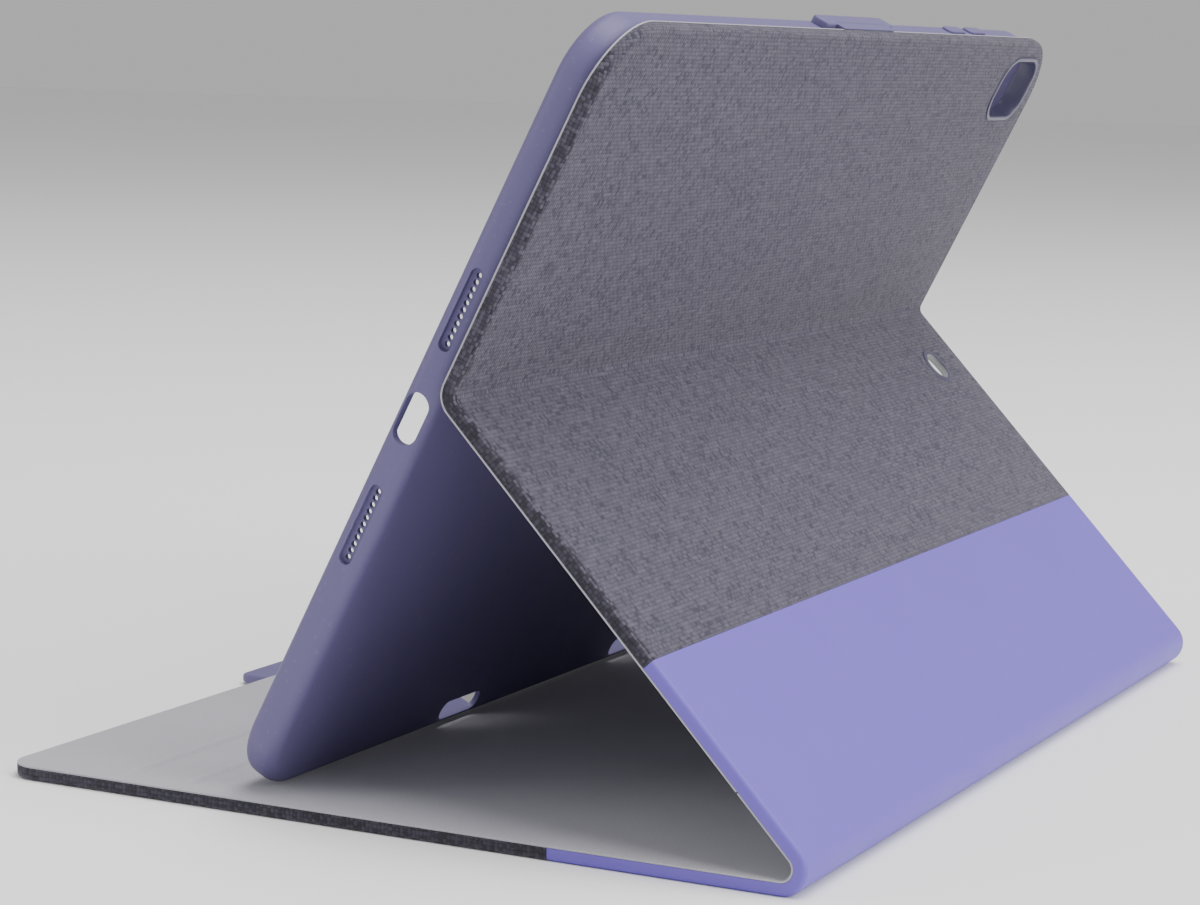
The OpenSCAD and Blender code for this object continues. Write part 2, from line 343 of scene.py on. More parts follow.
def makeWeaveGroup():
    # plain weave: how high the thread stands, a chance value for each float, and slow streaks
    group, given, out = newGroup(
        "plainWeave",
        [("Place", "NodeSocketVector", None), ("Pitch", "NodeSocketFloat", 0.0006)],
        [("Height", "NodeSocketFloat"), ("Chance", "NodeSocketFloat"), ("Streak", "NodeSocketFloat")])
    size = doMath(group, "DIVIDE", 1.0, given["Pitch"])
    scaled = addNode(group, "ShaderNodeVectorMath", {0: given["Place"], 3: size}, operation="SCALE").outputs[0]
    wobble = addNode(group, "ShaderNodeTexNoise", {"Vector": scaled, "Scale": 0.35, "Detail": 1.0})
    wobbled = addNode(
        group, "ShaderNodeVectorMath", {0: wobble.outputs["Color"], 1: (0.5, 0.5, 0.5)}, operation="SUBTRACT")
    moved = addNode(
        group, "ShaderNodeVectorMath", {0: wobbled.outputs[0], 1: (0.35, 0.35, 0.0), 2: scaled},
        operation="MULTIPLY_ADD")
    apart = addNode(group, "ShaderNodeSeparateXYZ", {0: moved.outputs[0]})
    across, along = apart.outputs[0], apart.outputs[1]
    column = doMath(group, "FLOOR", across)
    row = doMath(group, "FLOOR", along)
    parity = doMath(group, "MODULO", doMath(group, "ADD", column, row), 2.0)
    warp = doMath(group, "LESS_THAN", doMath(group, "ABSOLUTE", parity), 0.5)
    waveAcross = doMath(group, "ABSOLUTE", doMath(group, "SINE", doMath(group, "MULTIPLY", across, math.pi)))
    waveAlong = doMath(group, "ABSOLUTE", doMath(group, "SINE", doMath(group, "MULTIPLY", along, math.pi)))
    product = doMath(group, "MULTIPLY", waveAcross, waveAlong)
    round1 = doMath(group, "POWER", waveAcross, 0.6)
    round2 = doMath(group, "POWER", waveAlong, 0.6)
    profile = addNode(group, "ShaderNodeMix", {0: warp, 2: round2, 3: round1}, data_type="FLOAT").outputs[0]
    height = doMath(group, "MULTIPLY_ADD", product, 0.45, doMath(group, "MULTIPLY", profile, 0.55))
    warpCell = addNode(group, "ShaderNodeCombineXYZ", {0: column, 1: doMath(
        group, "FLOOR", doMath(group, "MULTIPLY_ADD", along, 0.5, doMath(group, "MULTIPLY", column, 0.37)))})
    weftCell = addNode(group, "ShaderNodeCombineXYZ", {0: doMath(
        group, "FLOOR", doMath(group, "MULTIPLY_ADD", across, 0.5, doMath(group, "MULTIPLY", row, 0.41))), 1: row,
        2: 7.0})
    cell = addNode(group, "ShaderNodeMix", {0: warp, 4: weftCell.outputs[0], 5: warpCell.outputs[0]},
                   data_type="VECTOR")
    chance = addNode(group, "ShaderNodeTexWhiteNoise", {0: cell.outputs[1]}, noise_dimensions="3D")
    streakPlace = addNode(group, "ShaderNodeCombineXYZ", {0: doMath(group, "MULTIPLY", across, 0.9),
                                                          1: doMath(group, "MULTIPLY", along, 0.12)})
    streak = addNode(group, "ShaderNodeTexNoise", {"Vector": streakPlace.outputs[0], "Scale": 1.0, "Detail": 2.0})
    group.links.new(height, out["Height"])
    group.links.new(chance.outputs["Value"], out["Chance"])
    group.links.new(streak.outputs["Fac"], out["Streak"])
    return group


def makeGrainGroup():
    # fine moulded or pressed grain: height, and a slow mottle
    group, given, out = newGroup(
        "fineGrain",
        [("Place", "NodeSocketVector", None), ("Size", "NodeSocketFloat", 0.0005)],
        [("Height", "NodeSocketFloat"), ("Mottle", "NodeSocketFloat")])
    size = doMath(group, "DIVIDE", 1.0, given["Size"])
    cells = addNode(group, "ShaderNodeTexVoronoi", {"Vector": given["Place"], "Scale": size}, feature="SMOOTH_F1")
    fine = addNode(group, "ShaderNodeTexNoise", {"Vector": given["Place"], "Scale": size, "Detail": 3.0})
    height = doMath(group, "MULTIPLY_ADD", fine.outputs["Fac"], 0.5, cells.outputs["Distance"])
    mottle = addNode(group, "ShaderNodeTexNoise", {"Vector": given["Place"], "Scale": 45.0, "Detail": 4.0})
    group.links.new(height, out["Height"])
    group.links.new(mottle.outputs["Fac"], out["Mottle"])
    return group


def makeDustGroup():
    # pale dust and lint specks, thin and uneven
    group, given, out = newGroup(
        "lightDust",
        [("Place", "NodeSocketVector", None), ("Amount", "NodeSocketFloat", 0.05)],
        [("Mask", "NodeSocketFloat")])
    patches = addNode(group, "ShaderNodeTexNoise", {"Vector": given["Place"], "Scale": 18.0, "Detail": 5.0})
    specks = addNode(group, "ShaderNodeTexNoise", {"Vector": given["Place"], "Scale": 900.0, "Detail": 1.0})
    high = addNode(group, "ShaderNodeMapRange", {0: specks.outputs["Fac"], 1: 0.66, 2: 0.78})
    mask = doMath(group, "MULTIPLY", doMath(group, "MULTIPLY", high.outputs[0], patches.outputs["Fac"]),
                  given["Amount"])
    group.links.new(mask, out["Mask"])
    return group


plainWeave = makeWeaveGroup()
fineGrain = makeGrainGroup()
lightDust = makeDustGroup()


def newMaterial(name, roughness):
    made = bpy.data.materials.new(name)
    made.use_nodes = True
    tree = made.node_tree
    surface = tree.nodes["Principled BSDF"]
    surface.inputs["Roughness"].default_value = roughness
    return made, tree, surface


def addBump(tree, surface, height, strength, distance):
    bump = addNode(tree, "ShaderNodeBump", {"Height": height, "Strength": strength, "Distance": distance})
    tree.links.new(bump.outputs[0], surface.inputs["Normal"])


def objectPlace(tree):
    return addNode(tree, "ShaderNodeTexCoord").outputs["Object"]


heather = {
    "pitch": 0.9 * mm,
    "ground": (0.066, 0.060, 0.087, 1),
    "pale": (0.112, 0.104, 0.136, 1),
    "dark": (0.026, 0.022, 0.046, 1),
    "streaks": 0.35,             # how much of the pale colour the slow streaks bring
    "paleShare": 0.6,
    "darkShare": 0.7,
    "shadedBand": 2.2 * mm,         # how far in from its edges the cloth carries painted shade, dotted thread by thread
    "frontEdgeShade": 0.72,           # painted shade: how light the cloth is where it is wrapped round the front cover's edge
    "backEdgeLight": 1.05,            # and round the back's, a little painted light
}


def makeHeather():
    made, tree, surface = newMaterial("heatherWeave", 0.9)
    place = addNode(tree, "ShaderNodeUVMap", uv_map="clothMap").outputs[0]
    weave = useGroup(tree, plainWeave, {"Place": place, "Pitch": heather["pitch"]})
    paleShare = addNode(tree, "ShaderNodeMapRange", {0: weave["Chance"], 1: 0.45, 2: 1.0}).outputs[0]
    darkShare = addNode(tree, "ShaderNodeMapRange", {0: weave["Chance"], 1: 0.26, 2: 0.02}).outputs[0]
    streak = addNode(tree, "ShaderNodeMapRange", {0: weave["Streak"], 1: 0.3, 2: 0.7}).outputs[0]
    streaks = doMath(tree, "MULTIPLY", streak, heather["streaks"])
    ground = mixColours(tree, streaks, heather["ground"], heather["pale"])
    apart = addNode(tree, "ShaderNodeSeparateXYZ", {0: place})
    side = case["width"] / 2
    beyond = doMath(tree, "MAXIMUM", doMath(tree, "SUBTRACT", apart.outputs[1], case["upperLength"]),
                    doMath(tree, "SUBTRACT", -case["frontLength"], apart.outputs[1]))
    beyond = doMath(tree, "MAXIMUM", doMath(
        tree, "SUBTRACT", doMath(tree, "ABSOLUTE", apart.outputs[0]), side), beyond)
    face = addNode(tree, "ShaderNodeMapRange", {0: beyond, 1: 0.7 * mm, 2: 0.1 * mm}).outputs[0]
    paleShare = doMath(tree, "MULTIPLY", doMath(tree, "MULTIPLY", paleShare, heather["paleShare"]), face)
    darkShare = doMath(tree, "MULTIPLY", doMath(tree, "MULTIPLY", darkShare, heather["darkShare"]), face)
    colour = mixColours(tree, paleShare, ground, heather["pale"])
    colour = mixColours(tree, darkShare, colour, heather["dark"])
    # painted shade in the weave: the hollows between threads darker, the thread tops lighter
    hollowShade = addNode(tree, "ShaderNodeMapRange", {0: weave["Height"], 1: 0.15, 2: 0.75, 3: 0.6, 4: 1.1})
    # painted shade along the cloth's side edges, where it rounds over the board: darker, dotted thread by thread
    shadedBand = addNode(tree, "ShaderNodeMapRange", {
        0: doMath(tree, "ABSOLUTE", apart.outputs[0]), 1: side - heather["shadedBand"], 2: side - 1.2 * mm})
    blotch = addNode(tree, "ShaderNodeTexNoise", {"Vector": place, "Scale": 330.0, "Detail": 2.0})
    dots = addNode(tree, "ShaderNodeMapRange", {0: weave["Chance"], 1: 0.35, 2: 0.65, 3: 0.55, 4: 0.95})
    edge = addNode(tree, "ShaderNodeMix", {0: shadedBand.outputs[0], 2: 1.0, 3: dots.outputs[0]}, data_type="FLOAT")
    # painted shade on the cloth wrapped round the front cover's edges, and a little painted light on the back's
    wrap = addNode(tree, "ShaderNodeMapRange", {
        0: apart.outputs[1], 1: -1 * mm, 2: 1 * mm, 3: heather["frontEdgeShade"], 4: heather["backEdgeLight"]})
    wrapped = addNode(tree, "ShaderNodeMapRange", {0: face, 3: wrap.outputs[0], 4: 1.0})
    soft = addNode(tree, "ShaderNodeMapRange", {0: blotch.outputs["Fac"], 1: 0.3, 2: 0.7, 3: 0.9, 4: 1.1})
    level = doMath(tree, "MULTIPLY", doMath(tree, "MULTIPLY", hollowShade.outputs[0], edge.outputs[0]), soft.outputs[0])
    level = doMath(tree, "MULTIPLY", level, wrapped.outputs[0])
    shaded = addNode(tree, "ShaderNodeVectorMath", {0: colour, 3: level}, operation="SCALE")
    tree.links.new(shaded.outputs[0], surface.inputs["Base Color"])
    addBump(tree, surface, weave["Height"], 0.8, 0.12 * mm)
    surface.inputs["Sheen Weight"].default_value = 0.12
    surface.inputs["Sheen Roughness"].default_value = 0.5
    surface.inputs["Specular IOR Level"].default_value = 0.25
    return made


def makeSmoothSkin():
    made, tree, surface = newMaterial("smoothSkin", 0.55)
    place = addNode(tree, "ShaderNodeUVMap", uv_map="clothMap").outputs[0]
    grain = useGroup(tree, fineGrain, {"Place": place, "Size": 0.45 * mm})
    colour = mixColours(tree, grain["Mottle"], (0.147, 0.100, 0.487, 1), (0.158, 0.108, 0.515, 1))
    tree.links.new(colour, surface.inputs["Base Color"])
    rough = addNode(tree, "ShaderNodeMapRange", {0: grain["Mottle"], 1: 0.3, 2: 0.7, 3: 0.5, 4: 0.6})
    tree.links.new(rough.outputs[0], surface.inputs["Roughness"])
    addBump(tree, surface, grain["Height"], 0.18, 0.05 * mm)
    surface.inputs["Specular IOR Level"].default_value = 0.4
    return made


def makeLiningCloth():
    made, tree, surface = newMaterial("brushedLining", 0.95)
    place = addNode(tree, "ShaderNodeUVMap", uv_map="clothMap").outputs[0]
    fibres = addNode(tree, "ShaderNodeTexNoise", {"Vector": place, "Scale": 2600.0, "Detail": 3.0})
    nap = addNode(tree, "ShaderNodeTexNoise", {"Vector": place, "Scale": 32.0, "Detail": 5.0})
    colour = mixColours(tree, nap.outputs["Fac"], (0.375, 0.37, 0.405, 1), (0.44, 0.435, 0.475, 1))
    fine = addNode(tree, "ShaderNodeMapRange", {0: fibres.outputs["Fac"], 1: 0.3, 2: 0.7, 3: 0.9, 4: 1.08})
    shaded = addNode(tree, "ShaderNodeVectorMath", {0: colour, 3: fine.outputs[0]}, operation="SCALE")
    tree.links.new(shaded.outputs[0], surface.inputs["Base Color"])
    addBump(tree, surface, fibres.outputs["Fac"], 0.35, 0.08 * mm)
    surface.inputs["Sheen Weight"].default_value = 0.3
    surface.inputs["Sheen Roughness"].default_value = 0.4
    surface.inputs["Specular IOR Level"].default_value = 0.2
    return made


def makeTrayRubber():
    made, tree, surface = newMaterial("trayRubber", 0.5)
    place = objectPlace(tree)
    grain = useGroup(tree, fineGrain, {"Place": place, "Size": 0.35 * mm})
    colour = mixColours(tree, grain["Mottle"], (0.118, 0.101, 0.226, 1), (0.130, 0.111, 0.247, 1))
    dust = useGroup(tree, lightDust, {"Place": place, "Amount": 0.25})
    colour = mixColours(tree, dust["Mask"], colour, (0.35, 0.34, 0.42, 1))
    tree.links.new(colour, surface.inputs["Base Color"])
    rough = addNode(tree, "ShaderNodeMapRange", {0: grain["Mottle"], 1: 0.3, 2: 0.7, 3: 0.44, 4: 0.56})
    tree.links.new(rough.outputs[0], surface.inputs["Roughness"])
    addBump(tree, surface, grain["Height"], 0.12, 0.04 * mm)
    surface.inputs["Specular IOR Level"].default_value = 0.4
    return made


def makeRimRubber():
    # painted shade: the rims are dark for the shade inside the openings and, in the camera's window, for the
    # tablet's black camera behind it
    made, tree, surface = newMaterial("shadedRimRubber", 0.34)
    place = objectPlace(tree)
    grain = useGroup(tree, fineGrain, {"Place": place, "Size": 0.3 * mm})
    colour = mixColours(tree, grain["Mottle"], (0.043, 0.04, 0.078, 1), (0.062, 0.056, 0.108, 1))
    tree.links.new(colour, surface.inputs["Base Color"])
    addBump(tree, surface, grain["Height"], 0.08, 0.03 * mm)
    return made


def makeBoardMaterial():
    made, tree, surface = newMaterial("pressedBoard", 0.9)
    place = objectPlace(tree)
    fibres = addNode(tree, "ShaderNodeTexNoise", {"Vector": place, "Scale": 800.0, "Detail": 6.0})
    colour = mixColours(tree, fibres.outputs["Fac"], (0.33, 0.25, 0.16, 1), (0.46, 0.37, 0.25, 1))
    tree.links.new(colour, surface.inputs["Base Color"])
    addBump(tree, surface, fibres.outputs["Fac"], 0.4, 0.1 * mm)
    return made


def makeMagnetMetal():
    made, tree, surface = newMaterial("magnetNickel", 0.3)
    place = objectPlace(tree)
    grain = addNode(tree, "ShaderNodeTexNoise", {"Vector": place, "Scale": 1200.0, "Detail": 3.0})
    rough = addNode(tree, "ShaderNodeMapRange", {0: grain.outputs["Fac"], 3: 0.22, 4: 0.42})
    tree.links.new(rough.outputs[0], surface.inputs["Roughness"])
    colour = mixColours(tree, grain.outputs["Fac"], (0.5, 0.5, 0.51, 1), (0.62, 0.62, 0.63, 1))
    tree.links.new(colour, surface.inputs["Base Color"])
    surface.inputs["Metallic"].default_value = 1.0
    return made


finishes = {
    "heather": makeHeather(),
    "smoothSkin": makeSmoothSkin(),
    "lining": makeLiningCloth(),
    "rubber": makeTrayRubber(),
    "rim": makeRimRubber(),
    "board": makeBoardMaterial(),
    "magnet": makeMagnetMetal(),
}
print("materials are ready")


def paint(piece, finish):
    piece.data.materials.clear()
    piece.data.materials.append(finishes[finish])


# Outer skins and linings

halfWidth = case["width"] / 2
skinLow = -case["panelThick"]
skinTop = -case["liningThick"]
creaseEnd = case["creaseRound"] / math.tan((math.pi - spineTurn) / 2)
foldEnd = case["foldRound"] * math.tan(foldTurn / 2)
lead = 3 * mm                                  # a short straight stretch on each side of a bend
sideZone = 1.5 * mm                            # here the cloth is laid out straight sideways
spineBend = {"y": creaseEnd, "z": case["creaseRound"], "side": 1, "turn": spineTurn, "steps": 20}
foldBend = {"y": foldEnd, "z": -case["foldRound"], "side": -1, "turn": foldTurn, "steps": 12}


def addSlab(name, y0, y1, z0, z1):
    return addBlock(name, (-halfWidth, y0, z0), (halfWidth, y1, z1))


def roundCorners(piece, y, radius, steps=14):
    # rounds the two upright corners at y
    pickEdges(piece, lambda a, b: near(a.y, y) and near(b.y, y) and near(a.x, b.x) and abs(a.x) > halfWidth / 2)
    roundEdges(radius, steps)


def roundRim(piece, z, offset, steps, skipY=()):
    # rounds the outline at height z, apart from its ends at skipY
    def onRim(a, b):
        if not (near(a.z, z) and near(b.z, z)):
            return False
        return not any(near(a.y, y) and near(b.y, y) for y in skipY)
    pickEdges(piece, onRim)
    roundEdges(offset, steps)


def dropFaces(piece, test):
    pickFaces(piece, test)
    bpy.ops.mesh.delete(type="FACE")


def openEnd(piece, y):
    # selects the open edges at y
    bpy.ops.mesh.select_mode(type="EDGE")
    bpy.ops.mesh.select_all(action="DESELECT")
    work = bmesh.from_edit_mesh(piece.data)
    for edge in work.edges:
        first, second = (corner.co for corner in edge.verts)
        edge.select_set(edge.is_boundary and near(first.y, y) and near(second.y, y))
    bmesh.update_edit_mesh(piece.data)


def drawOn(step):
    bpy.ops.mesh.extrude_region_move(TRANSFORM_OT_translate={"value": step})


def bendOn(piece, y, bend, length):
    # draws the open end at y on to the bend, round it and along the next panel
    openEnd(piece, y)
    drawOn((0, bend["y"] - y, 0))
    bpy.ops.mesh.spin(
        steps=bend["steps"], angle=bend["side"] * bend["turn"], center=(0, bend["y"], bend["z"]), axis=(1, 0, 0))
    turned = Matrix.Rotation(-bend["side"] * bend["turn"], 3, "X") @ Vector((0, -1, 0))
    drawOn(turned * lead)
    drawOn(turned * (length - lead))


def unrolled(point, bend):
    # where a point lies once the bend is laid flat: along the panels, and its height
    y, z = point.y - bend["y"], point.z - bend["z"]
    side = bend["side"]
    angle = math.atan2(-y, -side * z) % (2 * math.pi)
    reach = bend["z"] - side * math.hypot(y, z)
    middle = abs(bend["z"] - skinLow)
    if angle <= bend["turn"]:
        return -angle * middle, reach
    if angle <= bend["turn"] + math.pi / 2:
        back = Matrix.Rotation(side * bend["turn"], 3, "X") @ Vector((0, y, z))
        return -bend["turn"] * middle + back.y, bend["z"] + back.z
    return y, point.z


def mapCloth(piece, bend=None):
    # lays the cloth's pattern on the piece as it was cut, in metres
    layer = piece.data.uv_layers.new(name="clothMap")
    mesh = piece.data
    for polygon in mesh.polygons:
        tilt = Vector((polygon.normal.x, polygon.normal.y, 0))
        outwards = tilt.normalized() if tilt.length > 0.2 and abs(polygon.normal.z) < 0.98 else Vector((0, 0, 0))
        for corner in polygon.loop_indices:
            point = mesh.vertices[mesh.loops[corner].vertex_index].co
            along, height = unrolled(point, bend) if bend else (point.y, point.z)
            rise = max(0.0, height - skinLow)
            atSide = abs(point.x) > halfWidth - sideZone
            sideways = math.copysign(1, point.x) if atSide else outwards.x
            onward = 0.0 if atSide else outwards.y
            layer.data[corner].uv = (point.x + sideways * rise, along + onward * rise)


def thicken(piece, thick):
    wall = piece.modifiers.new("wall", "SOLIDIFY")
    wall.thickness = thick
    wall.offset = -1
    wall.use_even_offset = True
    applyAll(piece)


def blendAt(piece):
    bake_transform(piece)


def followSpine(piece):
    blendAt(piece)


def followFold(piece):
    blendAt(piece)


holes = {
    "camera": (-112 * mm, 70 * mm),
    "cameraSize": (23 * mm, 16 * mm),
    "cameraRound": 6 * mm,
    "rim": 1.2 * mm,
    "sound": (-112 * mm, -20.3 * mm),          # from the fold, along the lower panel
    "soundRadius": 3.85 * mm,
    "soundRim": 5.4 * mm,
    "soundFlare": 8.6 * mm,
    "trayHole": 2.5 * mm,                      # the radius of the sound hole in the tray's back
}


def cameraBlock(name, grow, z0, z1):
    x, y = holes["camera"]
    wide, high = (side / 2 + grow for side in holes["cameraSize"])
    piece = addBlock(name, (x - wide, y - high, z0), (x + wide, y + high, z1))
    pickEdges(piece, lambda a, b: near(a.x, b.x) and near(a.y, b.y))
    roundEdges(holes["cameraRound"] + grow, 10)
    return piece


def cameraCutter(grow):
    return finishMesh(cameraBlock("cameraCut", grow, -8 * mm, 6 * mm))


def soundCutter(radius, panelFrame, y):
    piece = addRound("soundCut", (holes["sound"][0], y, 0), radius, 12 * mm)
    finishMesh(piece)
    placeOn(piece, panelFrame)
    return piece


def makeSpineBand():
    # the smooth skin from the lower panel round the spine to the front cover
    top = case["backBand"] - case["seam"]
    start = creaseEnd + lead
    piece = addSlab("spineBand", start, top, skinLow, skinTop)
    roundRim(piece, skinLow, case["rimRound"], 5, skipY=(start, top))
    dropFaces(piece, lambda middle, normal: normal.z > 0.99 or abs(normal.y) > 0.99)
    bendOn(piece, start, spineBend, case["frontBand"] - creaseEnd - case["seam"])
    finishMesh(piece)
    mapCloth(piece, spineBend)
    thicken(piece, case["skinThick"])
    placeOn(piece, lowerFrame)
    smooth(piece)
    paint(piece, "smoothSkin")
    followSpine(piece)
    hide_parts("lower_band", "front_band", "spine_crease_skin")


def makeFrontFabric():
    # the woven skin under the front cover
    start, end = -case["frontBand"], -case["frontLength"]
    piece = addSlab("frontFabric", end, start, skinLow, skinTop)
    roundCorners(piece, end, case["frontCornerRound"])
    roundRim(piece, skinLow, case["rimRound"], 5, skipY=(start,))
    dropFaces(piece, lambda middle, normal: normal.z > 0.99 or normal.y > 0.99)
    finishMesh(piece)
    mapCloth(piece)
    thicken(piece, case["skinThick"])
    placeOn(piece, frontFrame)
    smooth(piece)
    paint(piece, "heather")
    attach(piece, "front_cover")
    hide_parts("front_fabric")


def makeBackFabric():
    # the woven skin from the band over the fold to the top edge
    start, end = foldEnd + lead, case["upperLength"]
    piece = addSlab("backFabric", start, end, skinLow, skinTop)
    roundCorners(piece, end, case["cornerRound"])
    roundRim(piece, skinLow, case["rimRound"], 5, skipY=(start,))
    dropFaces(piece, lambda middle, normal: normal.z > 0.99 or normal.y < -0.99)
    bendOn(piece, start, foldBend, lowerLength - foldEnd - case["backBand"] - case["seam"])
    finishMesh(piece)
    mapCloth(piece, foldBend)
    thicken(piece, case["skinThick"])
    cutWith(piece, [cameraCutter(holes["rim"])])
    placeOn(piece, upperFrame)
    cutWith(piece, [soundCutter(holes["soundRim"], lowerFrame, lowerLength + holes["sound"][1])])
    smooth(piece)
    paint(piece, "heather")
    followFold(piece)
    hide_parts("lower_fabric", "upper_fabric")


def makeCoverLining():
    # the lining from the free edge through the spine's crease up to the lower board
    start, end = creaseEnd + lead, case["hingeLine"] - case["liningSeam"]
    piece = addSlab("coverLining", start, end, skinTop, 0)
    dropFaces(piece, lambda middle, normal: normal.y < -0.99)
    bendOn(piece, start, spineBend, case["frontLength"] - creaseEnd)
    bpy.ops.mesh.edge_face_add()
    finishMesh(piece)
    mapCloth(piece, spineBend)
    placeOn(piece, lowerFrame)
    takeUp(piece)
    bpy.ops.object.mode_set(mode="EDIT")
    freeY = spineAt.y - case["frontLength"]
    roundCorners(piece, freeY, case["frontCornerRound"])
    bpy.ops.object.mode_set(mode="OBJECT")
    softEdges(piece, case["liningSoft"], 2, 60)
    smooth(piece)
    paint(piece, "lining")
    followSpine(piece)
    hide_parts("front_lining", "spine_crease_lining")


def makeBackLining():
    # the lining from the lower board over the fold to the top edge
    start, end = foldEnd + lead, case["upperLength"]
    piece = addSlab("backLining", start, end, skinTop, 0)
    roundCorners(piece, end, case["cornerRound"])
    dropFaces(piece, lambda middle, normal: normal.y < -0.99)
    bendOn(piece, start, foldBend, lowerLength - foldEnd - case["hingeLine"] - case["liningSeam"])
    bpy.ops.mesh.edge_face_add()
    finishMesh(piece)
    mapCloth(piece, foldBend)
    cutWith(piece, [cameraCutter(holes["rim"])])
    placeOn(piece, upperFrame)
    cutWith(piece, [soundCutter(holes["soundFlare"], lowerFrame, lowerLength + holes["sound"][1])])
    softEdges(piece, case["liningSoft"], 2, 60)
    smooth(piece)
    paint(piece, "lining")
    followFold(piece)
    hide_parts("lower_lining", "upper_lining")


ridges = {"places": (-142.5 * mm, -158 * mm), "foot": 3.2 * mm, "top": 1.2 * mm, "height": 0.65 * mm,
          "crest": 0.55 * mm, "sunk": 0.05 * mm, "length": 255.6 * mm}


def makeRidges():
    # two soft ridges across the front cover's lining, with sloping sides
    made = []
    for y in ridges["places"]:
        half, foot = ridges["length"] / 2, ridges["foot"] / 2
        piece = addBlock("ridge", (-half, y - foot, -ridges["sunk"]), (half, y + foot, ridges["height"]))
        pickFaces(piece, lambda middle, normal: normal.z > 0.99)
        bpy.ops.transform.resize(
            value=(1 - ridges["foot"] / ridges["length"], ridges["top"] / ridges["foot"], 1),
            center_override=(0, y, 0))
        pickEdges(piece, lambda a, b: near(a.z, ridges["height"]) and near(b.z, ridges["height"]))
        roundEdges(ridges["crest"], 4)
        finishMesh(piece)
        mapCloth(piece)
        made.append(piece)
    piece = joinInto(made)
    piece.name = "standRidges"
    placeOn(piece, frontFrame)
    smooth(piece, 50)
    paint(piece, "lining")
    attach(piece, "front_cover")
    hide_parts("stand_ridges")


makeSpineBand()
makeFrontFabric()
makeBackFabric()
print("skins are on")
makeCoverLining()
makeBackLining()
makeRidges()
print("linings are in")


# Rims of the two openings in the back


bezel = {"out": 0.35 * mm, "into": 1.4 * mm, "play": 0.05 * mm, "soft": 0.3 * mm}


def makeCameraBezel():
    # a liner that runs through the panel and the tray's back, painted dark for the shade in the window and the
    # tablet's black camera behind it
    low, high = skinLow - bezel["out"], bezel["into"]
    piece = cameraBlock("cameraBezel", holes["rim"] - bezel["play"], low, high)
    pickFaces(piece, lambda middle, normal: abs(normal.z) > 0.99)
    bpy.ops.mesh.inset(thickness=holes["rim"])
    bpy.ops.mesh.bridge_edge_loops()
    finishMesh(piece)
    softEdges(piece, bezel["soft"], 3, 50)
    placeOn(piece, upperFrame)
    smooth(piece, 40)
    paint(piece, "rim")
    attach(piece, "tray")
    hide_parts("camera_bezel")


grommet = {"out": 0.25 * mm, "play": 0.05 * mm, "wall": 0.4 * mm, "soft": 0.3 * mm}


def makeSoundGrommet():
    # a ring in the skin that flares out inside the panel
    low, inside = skinLow - grommet["out"], skinLow + case["skinThick"]
    piece = addRound("soundGrommet", (holes["sound"][0], lowerLength + holes["sound"][1], inside / 2),
                     holes["soundFlare"] - grommet["play"], -inside, sides=64)
    pickFaces(piece, lambda middle, normal: normal.z < -0.99)
    bpy.ops.mesh.inset(thickness=holes["soundFlare"] - holes["soundRim"])
    drawOn((0, 0, low - inside))
    bpy.ops.mesh.inset(thickness=holes["soundRim"] - holes["soundRadius"])
    bpy.ops.mesh.delete(type="FACE")
    pickFaces(piece, lambda middle, normal: normal.z > 0.99)
    bpy.ops.mesh.inset(thickness=grommet["wall"])
    bpy.ops.mesh.delete(type="FACE")
    bpy.ops.mesh.select_mode(type="EDGE")
    bpy.ops.mesh.select_all(action="DESELECT")
    bpy.ops.mesh.select_non_manifold()
    bpy.ops.mesh.bridge_edge_loops()
    finishMesh(piece)
    softEdges(piece, grommet["soft"], 3, 50)
    placeOn(piece, lowerFrame)
    smooth(piece, 40)
    paint(piece, "rim")
    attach(piece, "lower_panel")
    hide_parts("sound_grommet")


makeCameraBezel()
makeSoundGrommet()
print("rims are in")


# The tray

tray = {
    "width": 255.6 * mm,
    "height": 179.1 * mm,
    "below": 97 * mm,
    "back": 0.3 * mm,
    "front": 8.6 * mm,
    "floor": 1.5 * mm,
    "lipUnder": 7.7 * mm,
    "wall": 2.1 * mm,
    "lipReach": 1.6 * mm,
    "cornerRound": 14 * mm,
    "edgeRound": 3 * mm,
    "lipSoft": 0.3 * mm,
    "tabletEdge": 2.5 * mm,      # from the tray's outside to the tablet
}
trayMiddle = tray["height"] / 2 - tray["below"]
trayTop = tray["height"] - tray["below"]
tabletMiddle = 4.55 * mm
speakers = {"places": (24.9 * mm, -24.9 * mm), "count": 11, "pitch": 1.55 * mm, "hole": 1.2 * mm, "deep": 1 * mm,
            "slot": 3 * mm}
port = {"long": 11.5 * mm, "high": 5.5 * mm}
plugHole = {"radius": 3 * mm, "up": 13 * mm}
slots = {"places": (-44 * mm, 44 * mm), "long": 18 * mm, "high": 5 * mm, "up": 5 * mm}
button = {"long": 11 * mm, "high": 3.2 * mm, "out": 0.6 * mm, "gap": 0.25 * mm, "inside": 0.1 * mm,
          "soft": 0.35 * mm}
# the volume buttons' places along the top wall, and the power button's up the end wall
buttonPlaces = {"volumeUp": -85 * mm, "volumeDown": -70 * mm, "power": trayTop - tray["tabletEdge"] - 27 * mm}


# the magnets' pockets in the lower wall, open to the inside
pockets = {"places": (-75 * mm, -25 * mm, 25 * mm, 75 * mm), "half": 9.02 * mm, "deep": 1.02 * mm,
           "from": 2.08 * mm, "to": 7.12 * mm}


def endBar(name, x0, x1, y, z, long, high):
    # a bar with half-round ends, running through an end wall
    piece = addBlock(name, (x0, y - long / 2, z - high / 2), (x1, y + long / 2, z + high / 2))
    pickEdges(piece, lambda a, b: near(a.y, b.y) and near(a.z, b.z))
    roundEdges(high / 2 * 0.999, 8)
    return piece


